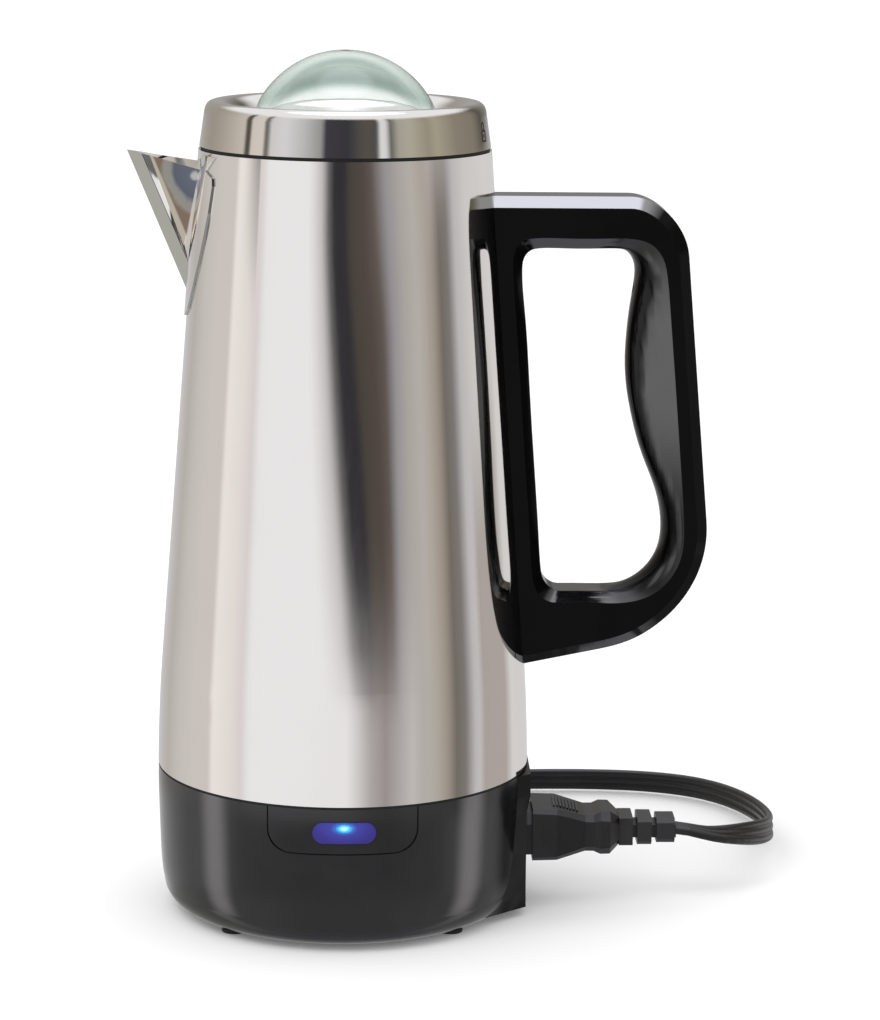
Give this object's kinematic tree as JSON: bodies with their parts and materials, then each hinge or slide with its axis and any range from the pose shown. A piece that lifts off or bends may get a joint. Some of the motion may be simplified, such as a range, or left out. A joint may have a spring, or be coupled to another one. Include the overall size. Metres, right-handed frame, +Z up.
{
  "type": "coffee percolator",
  "caption": "Electric coffee percolator: tapered polished steel pot with V spout, glass knob, loop handle, black base with lamp, and detachable cord.",
  "frame": {"origin": "on the pot's vertical axis, in the plane the four feet stand on, at the centre of the feet", "axes": "+Z up; +X towards the handle and the power inlet; -X towards the spout; -Y towards the indicator lamp"},
  "size_m": [0.2692, 0.2412, 0.3418],
  "materials": {
    "polished_steel": "mirror-polished stainless steel, very faint drawing lines",
    "steel_inner": "satin stainless steel",
    "glass": "clear, faint green tint",
    "gloss_black": "gloss black phenolic",
    "satin_black": "satin dark grey-black",
    "black_rubber": "matt black rubber",
    "lens_blue": "translucent violet-blue, lit from behind",
    "board_green": "circuit board",
    "cast_aluminium": "as cast",
    "brass": "bare",
    "plated_steel": "zinc plated",
    "white_plastic": "heat-resistant, off-white",
    "cord_black": "black flexible vinyl, slightly glossy"
  },
  "bodies": {
    "pot": {"vessel_shell": "polished_steel", "bayonet_ring": "steel_inner", "spout": "polished_steel", "handle": "gloss_black", "handle_bracket_upper": "steel_inner", "handle_bracket_lower": "steel_inner", "handle_screws": "plated_steel", "base_shell": "satin_black", "trim_ring": "black_rubber", "indicator_panel": "satin_black", "indicator_lens": "lens_blue", "lamp_board": "board_green", "bottom_cover": "satin_black", "feet": "black_rubber", "heater_well": "steel_inner", "heater_block": "cast_aluminium", "clamp_stud": "plated_steel", "clamp_nut": "plated_steel", "thermostat": "white_plastic", "thermal_fuse": "white_plastic", "inlet_socket": "satin_black", "inlet_pins": "brass", "wiring": "white_plastic"},
    "lid_seal": {"lid_gasket": "black_rubber"},
    "lid": {"lid_shell": "polished_steel", "lid_inner_plate": "steel_inner"},
    "knob_seal": {"knob_gasket": "black_rubber"},
    "knob": {"glass_knob": "glass"},
    "stem": {"perk_stem": "steel_inner"},
    "washer": {"valve_washer": "steel_inner"},
    "basket": {"basket": "steel_inner"},
    "spreader": {"basket_lid": "steel_inner"},
    "cord_set": {"cord_connector": "cord_black", "cord": "cord_black", "mains_plug": "cord_black", "plug_blades": "brass"}
  },
  "joints": [
    {"name": "lid_lift", "type": "slide", "parent": "pot", "child": "lid_seal", "axis": [0, 0, 1], "range_m": [0, 0.4]},
    {"name": "lid_twist", "type": "hinge", "parent": "lid_seal", "child": "lid", "pos_m": [0, 0, 0.305], "axis": [0, 0, 1], "range_deg": [0, 24]},
    {"name": "knob_lift", "type": "slide", "parent": "lid", "child": "knob_seal", "axis": [0, 0, 1], "range_m": [0, 0.06]},
    {"name": "knob_twist", "type": "hinge", "parent": "knob_seal", "child": "knob", "pos_m": [0, 0, 0.303], "axis": [0, 0, 1], "range_deg": [0, 60]},
    {"name": "stem_lift", "type": "slide", "parent": "pot", "child": "stem", "axis": [0, 0, 1], "range_m": [0, 0.264]},
    {"name": "basket_lift", "type": "slide", "parent": "stem", "child": "basket", "axis": [0, 0, 1], "range_m": [0, 0.076]},
    {"name": "spreader_lift", "type": "slide", "parent": "basket", "child": "spreader", "axis": [0, 0, 1], "range_m": [0, 0.024]},
    {"name": "washer_float", "type": "slide", "parent": "stem", "child": "washer", "axis": [0, 0, 1], "range_m": [0, 0.0025]},
    {"name": "cord_pull", "type": "slide", "parent": "pot", "child": "cord_set", "axis": [1, 0, 0], "range_m": [0, 0.06]}
  ],
  "couplings": [
    {"joint": "stem_lift", "follows": "lid_lift", "ratio": 0.66},
    {"joint": "basket_lift", "follows": "lid_lift", "ratio": 0.19},
    {"joint": "spreader_lift", "follows": "lid_lift", "ratio": 0.06}
  ]
}
